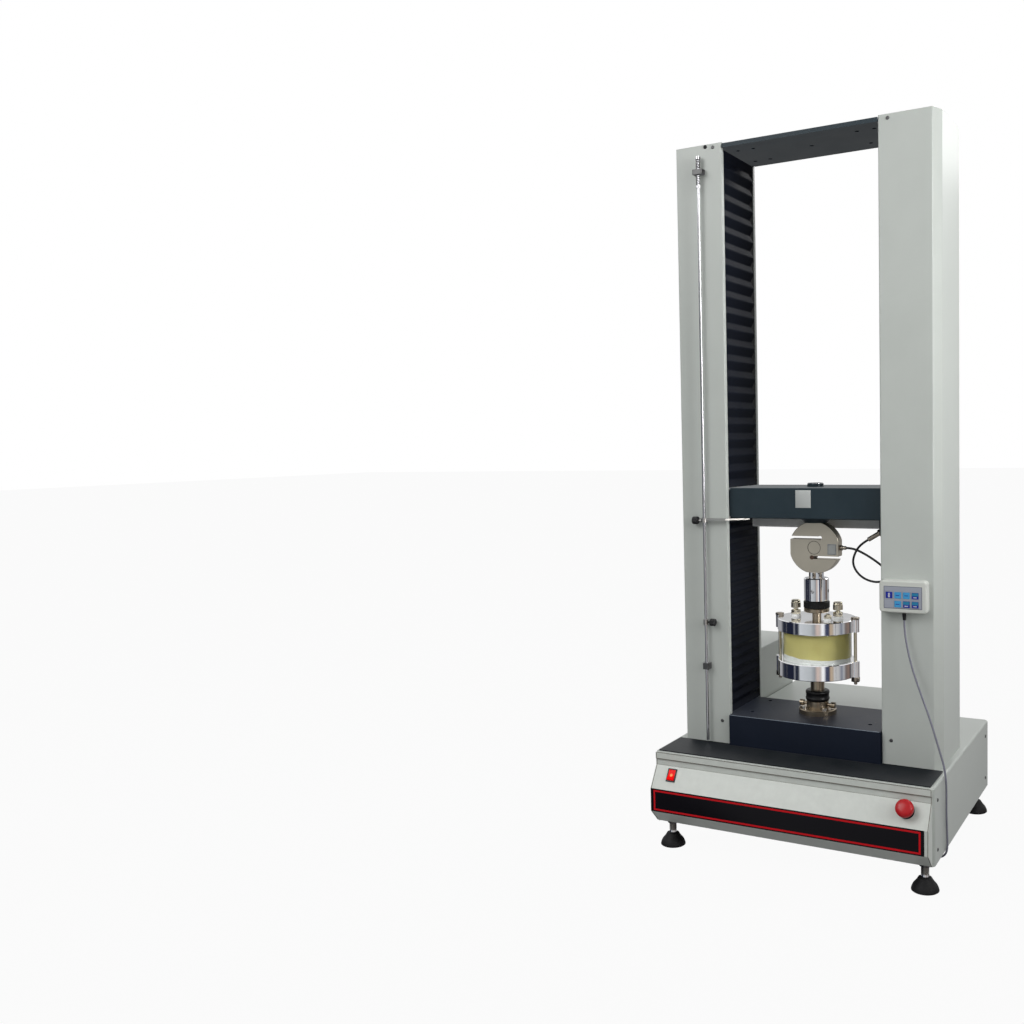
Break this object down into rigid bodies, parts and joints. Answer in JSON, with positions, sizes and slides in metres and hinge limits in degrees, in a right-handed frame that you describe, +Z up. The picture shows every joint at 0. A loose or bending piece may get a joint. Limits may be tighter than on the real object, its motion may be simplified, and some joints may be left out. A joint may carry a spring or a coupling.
{
  "type": "tensile testing machine",
  "caption": "Floor-standing twin-column tensile tester: screw-driven crosshead with S-beam load cell over a clear pressure cell, slanted control panel and wall keypad.",
  "frame": {"origin": "on the floor under the feet, in the middle of the machine's plan without its keypad cord", "axes": "+Z up along the columns, +X to the machine's right as an operator faces it, +Y towards its back"},
  "size_m": [0.6861, 0.6548, 1.703],
  "materials": {
    "painted_light": "satin powder coat",
    "painted_slate": "satin paint",
    "painted_grey": "satin paint",
    "black_frame": "matt black paint",
    "steel": "ground",
    "chrome": "polished plating",
    "polished_aluminium": "polished",
    "nickel": "bead-blasted nickel plate",
    "clear_window": "clear acrylic",
    "cell_liquid": "pale yellow liquid over white packing",
    "rubber": "matt black rubber",
    "black_plastic": "matt black",
    "red_plastic": "glossy red",
    "keypad_plastic": "light grey moulding",
    "key_plastic": "blue keys",
    "bellows_cloth": "coated black cloth",
    "cable_black": "black cable sheath",
    "cord_grey": "grey sheath"
  },
  "bodies": {
    "root": {"base_shell": "painted_light", "front_panel": "painted_light", "control_box": "painted_light", "left_column_cover": "painted_light", "right_column_cover": "painted_light", "lower_block": "painted_slate", "top_plate": "painted_slate", "base_frame": "black_frame", "drive_motor": "black_frame", "guides_and_bearings": "steel", "limit_rod_brackets": "steel", "cell_stand": "steel", "cell_fittings": "chrome", "cell_top_flange": "polished_aluminium", "cell_bottom_flange": "polished_aluminium", "cell_window": "clear_window", "cell_filling": "cell_liquid", "top_mat": "rubber", "drive_belt": "rubber", "panel_bezels": "black_plastic", "power_inlet": "black_plastic", "keypad_strain_relief": "black_plastic", "keypad_housing": "keypad_plastic", "upper_bellows": "bellows_cloth", "lower_bellows": "bellows_cloth", "keypad_cord": "cord_grey"},
    "crosshead": {"crosshead_beam": "painted_slate", "crosshead_rail": "painted_grey", "nuts_and_bushes": "steel", "load_cell": "nickel", "cable_gland": "chrome", "load_cell_cable": "cable_black", "cable_connector": "steel", "load_adaptor": "chrome", "piston_rod": "chrome", "trip_arm": "steel"},
    "lock_ring": {"lock_ring": "black_plastic"},
    "lock_collar": {"lock_collar": "black_plastic"},
    "left_screw": {"left_ball_screw": "steel"},
    "right_screw": {"right_ball_screw": "steel"},
    "motor_rotor": {"motor_pulley": "steel"},
    "estop_plunger": {"estop_stem": "steel"},
    "estop_mushroom": {"estop_head": "red_plastic"},
    "rocker": {"power_rocker": "red_plastic"},
    "limit_rod": {"limit_rod": "steel"},
    "stop": {"stop_collar": "steel"},
    "stop_knob": {"stop_knob": "black_plastic"},
    "left_valve": {"left_valve_knob": "chrome"},
    "right_valve": {"right_valve_knob": "chrome"},
    "front_left_foot": {"front_left_foot": "rubber"},
    "front_right_foot": {"front_right_foot": "rubber"},
    "rear_left_foot": {"rear_left_foot": "rubber"},
    "rear_right_foot": {"rear_right_foot": "rubber"},
    "key_1": {"key_1": "key_plastic"},
    "key_2": {"key_2": "key_plastic"},
    "key_3": {"key_3": "key_plastic"},
    "key_4": {"key_4": "key_plastic"},
    "key_5": {"key_5": "key_plastic"},
    "key_6": {"key_6": "key_plastic"},
    "key_7": {"key_7": "key_plastic"}
  },
  "joints": [
    {"name": "crosshead_travel", "type": "slide", "parent": "root", "child": "crosshead", "axis": [0, 0, 1], "range_m": [-0.012, 0.4], "deforming": ["upper_bellows", "lower_bellows"]},
    {"name": "right_screw_turn", "type": "hinge", "parent": "root", "child": "right_screw", "pos_m": [0.252, -0.09356, 0.8], "axis": [0, 0, 1], "range_deg": [-14500, 460]},
    {"name": "left_screw_turn", "type": "hinge", "parent": "root", "child": "left_screw", "pos_m": [-0.252, -0.09356, 0.8], "axis": [0, 0, 1], "range_deg": [-14500, 460]},
    {"name": "motor_turn", "type": "hinge", "parent": "root", "child": "motor_rotor", "pos_m": [0, 0.09444, 0.2], "axis": [0, 0, 1], "range_deg": [-26500, 830]},
    {"name": "lock_ring_turn", "type": "hinge", "parent": "crosshead", "child": "lock_ring", "pos_m": [0, -0.05556, 0.586], "axis": [0, 0, 1], "continuous": true},
    {"name": "lock_collar_turn", "type": "hinge", "parent": "root", "child": "lock_collar", "pos_m": [0, -0.05556, 0.36], "axis": [0, 0, 1], "continuous": true},
    {"name": "estop_push", "type": "slide", "parent": "root", "child": "estop_plunger", "axis": [0, 0.8384, -0.545], "range_m": [0, 0.005], "stiffness_N_per_m": 1500, "springref_m": -0.004},
    {"name": "estop_twist", "type": "hinge", "parent": "estop_plunger", "child": "estop_mushroom", "pos_m": [0.282, -0.29641, 0.189], "axis": [0, -0.8384, 0.545], "range_deg": [-45, 0], "stiffness_Nm_per_rad": 0.05, "springref_deg": 17.19},
    {"name": "power_rocker", "type": "hinge", "parent": "root", "child": "rocker", "pos_m": [-0.286, -0.29641, 0.189], "axis": [1, 0, 0], "range_deg": [0, 18]},
    {"name": "limit_rod_travel", "type": "slide", "parent": "root", "child": "limit_rod", "axis": [0, 0, 1], "range_m": [-0.005, 0.005], "stiffness_N_per_m": 6000, "springref_m": 0.0008},
    {"name": "stop_height", "type": "slide", "parent": "limit_rod", "child": "stop", "axis": [0, 0, 1], "range_m": [-0.08, 0.2]},
    {"name": "stop_clamp", "type": "hinge", "parent": "stop", "child": "stop_knob", "pos_m": [-0.247, -0.17056, 0.545], "axis": [1, 0, 0], "range_deg": [0, 360]},
    {"name": "left_valve_turn", "type": "hinge", "parent": "root", "child": "left_valve", "pos_m": [-0.054, -0.05556, 0.584], "axis": [0, 0, 1], "range_deg": [0, 360]},
    {"name": "right_valve_turn", "type": "hinge", "parent": "root", "child": "right_valve", "pos_m": [0.054, -0.05556, 0.584], "axis": [0, 0, 1], "range_deg": [0, 360]},
    {"name": "front_left_foot_turn", "type": "hinge", "parent": "root", "child": "front_left_foot", "pos_m": [-0.31, -0.24856, 0], "axis": [0, 0, 1], "continuous": true},
    {"name": "front_right_foot_turn", "type": "hinge", "parent": "root", "child": "front_right_foot", "pos_m": [0.31, -0.24856, 0], "axis": [0, 0, 1], "continuous": true},
    {"name": "rear_left_foot_turn", "type": "hinge", "parent": "root", "child": "rear_left_foot", "pos_m": [-0.31, 0.29344, 0], "axis": [0, 0, 1], "continuous": true},
    {"name": "rear_right_foot_turn", "type": "hinge", "parent": "root", "child": "rear_right_foot", "pos_m": [0.31, 0.29344, 0], "axis": [0, 0, 1], "continuous": true},
    {"name": "key_1_press", "type": "slide", "parent": "root", "child": "key_1", "axis": [0, 1, 0], "range_m": [0, 0.0008], "stiffness_N_per_m": 500, "springref_m": -0.002},
    {"name": "key_2_press", "type": "slide", "parent": "root", "child": "key_2", "axis": [0, 1, 0], "range_m": [0, 0.0008], "stiffness_N_per_m": 500, "springref_m": -0.002},
    {"name": "key_3_press", "type": "slide", "parent": "root", "child": "key_3", "axis": [0, 1, 0], "range_m": [0, 0.0008], "stiffness_N_per_m": 500, "springref_m": -0.002},
    {"name": "key_4_press", "type": "slide", "parent": "root", "child": "key_4", "axis": [0, 1, 0], "range_m": [0, 0.0008], "stiffness_N_per_m": 500, "springref_m": -0.002},
    {"name": "key_5_press", "type": "slide", "parent": "root", "child": "key_5", "axis": [0, 1, 0], "range_m": [0, 0.0008], "stiffness_N_per_m": 500, "springref_m": -0.002},
    {"name": "key_6_press", "type": "slide", "parent": "root", "child": "key_6", "axis": [0, 1, 0], "range_m": [0, 0.0008], "stiffness_N_per_m": 500, "springref_m": -0.002},
    {"name": "key_7_press", "type": "slide", "parent": "root", "child": "key_7", "axis": [0, 1, 0], "range_m": [0, 0.0008], "stiffness_N_per_m": 500, "springref_m": -0.002}
  ],
  "couplings": [
    {"joint": "right_screw_turn", "follows": "crosshead_travel", "rad_per_m": -628.32},
    {"joint": "left_screw_turn", "follows": "crosshead_travel", "rad_per_m": -628.32},
    {"joint": "motor_turn", "follows": "crosshead_travel", "rad_per_m": -1142.4}
  ]
}
